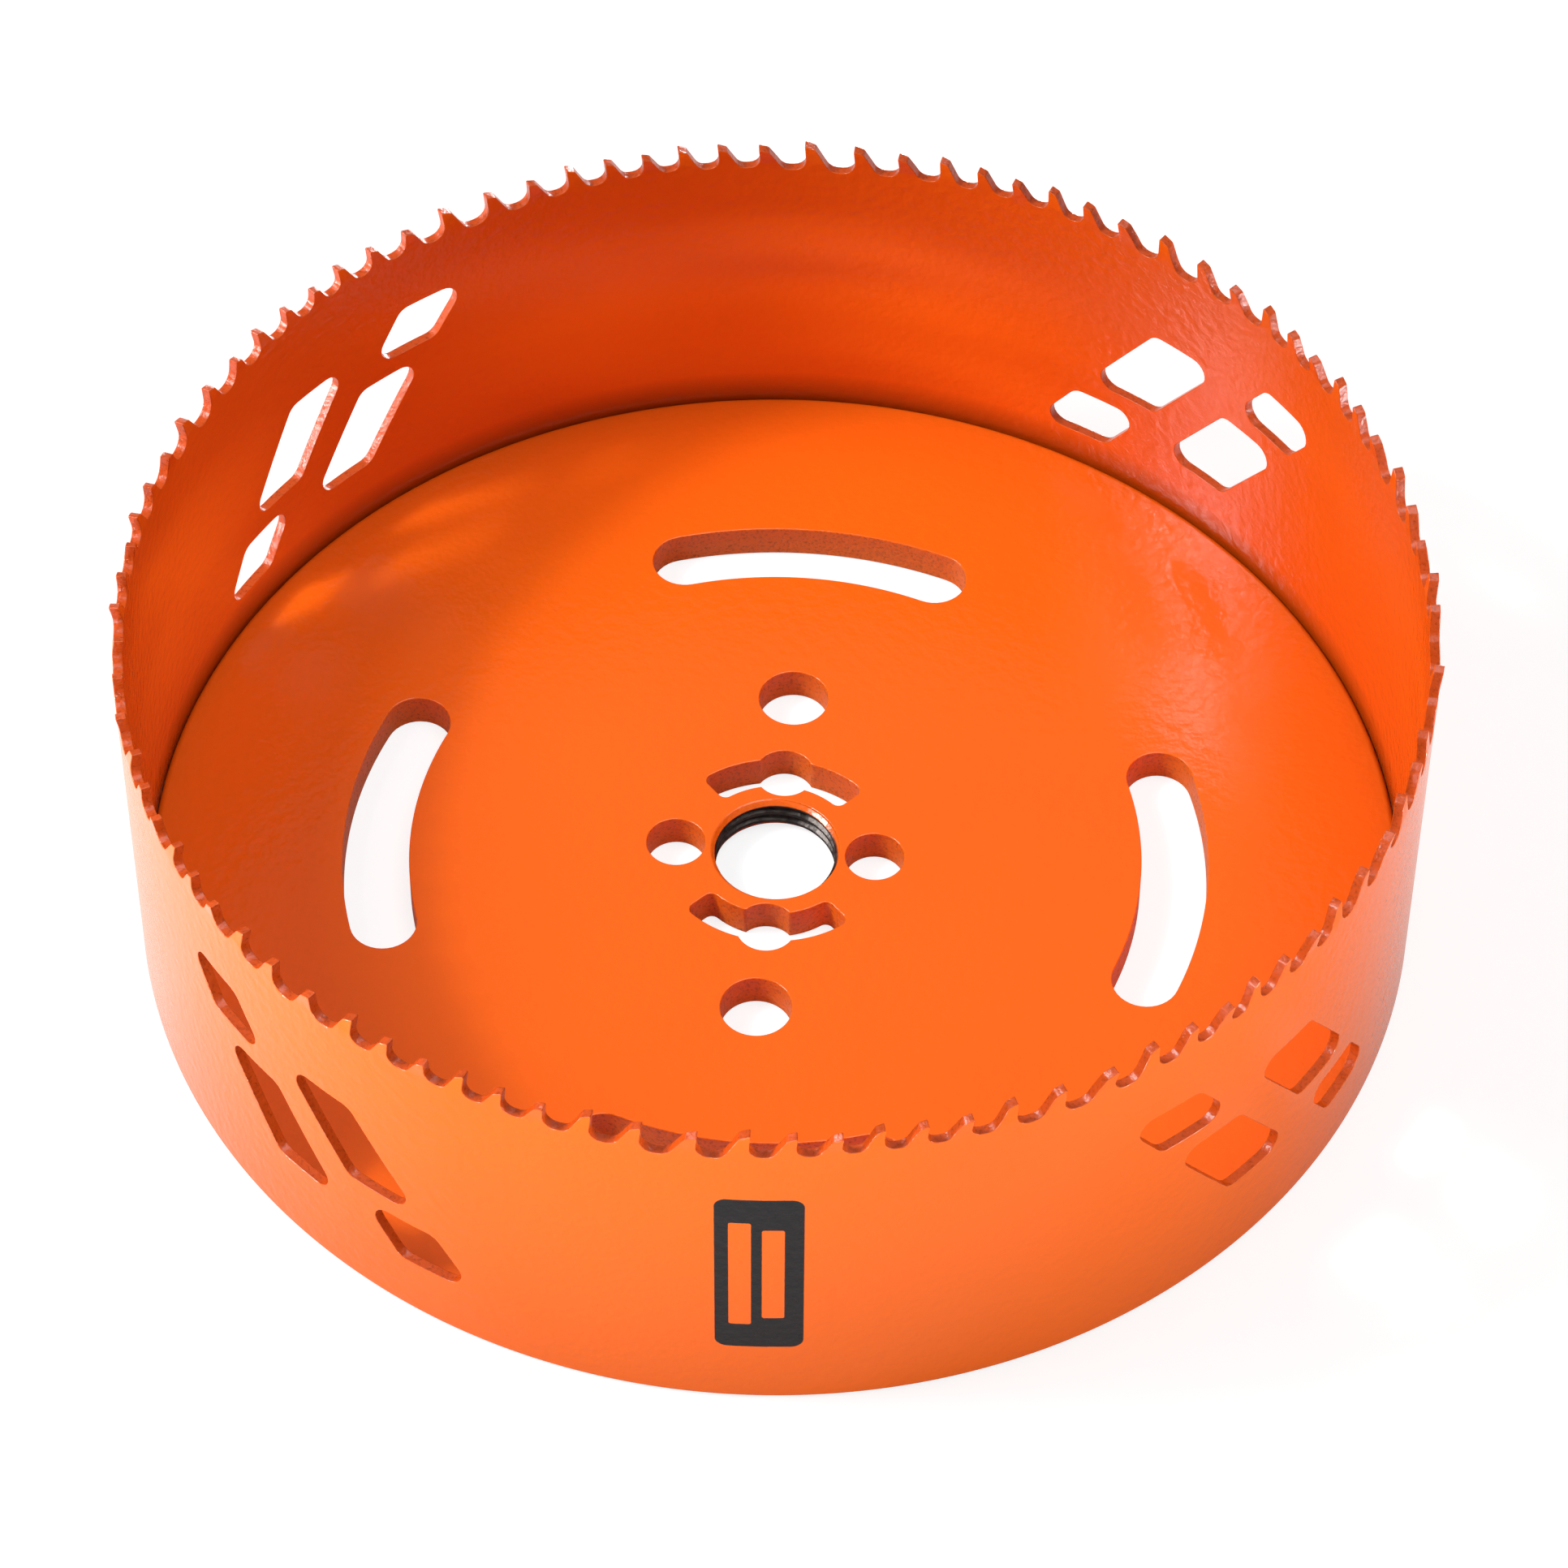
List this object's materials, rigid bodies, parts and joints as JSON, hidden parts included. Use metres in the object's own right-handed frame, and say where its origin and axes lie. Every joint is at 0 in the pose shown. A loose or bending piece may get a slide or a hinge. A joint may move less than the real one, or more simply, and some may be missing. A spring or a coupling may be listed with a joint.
{
  "type": "hole saw",
  "caption": "Cup-shaped wood hole saw: toothed steel ring with leaning chip windows around a flat backing plate with an arbor thread, pin holes and curved slots.",
  "frame": {"origin": "centre of the backing plate's outer face, on the saw's axis, level with the ring's foot", "axes": "+Z along the saw's axis from the backing plate to the tooth tips; +X through the two small pin holes; +Y through the two larger holes"},
  "size_m": [0.1529, 0.1531, 0.0484],
  "materials": {
    "ring_paint": "glossy powder coat",
    "plate_paint": "glossy powder coat"
  },
  "bodies": {
    "root": {"toothed_ring": "ring_paint", "backing_plate": "plate_paint"}
  },
  "joints": []
}
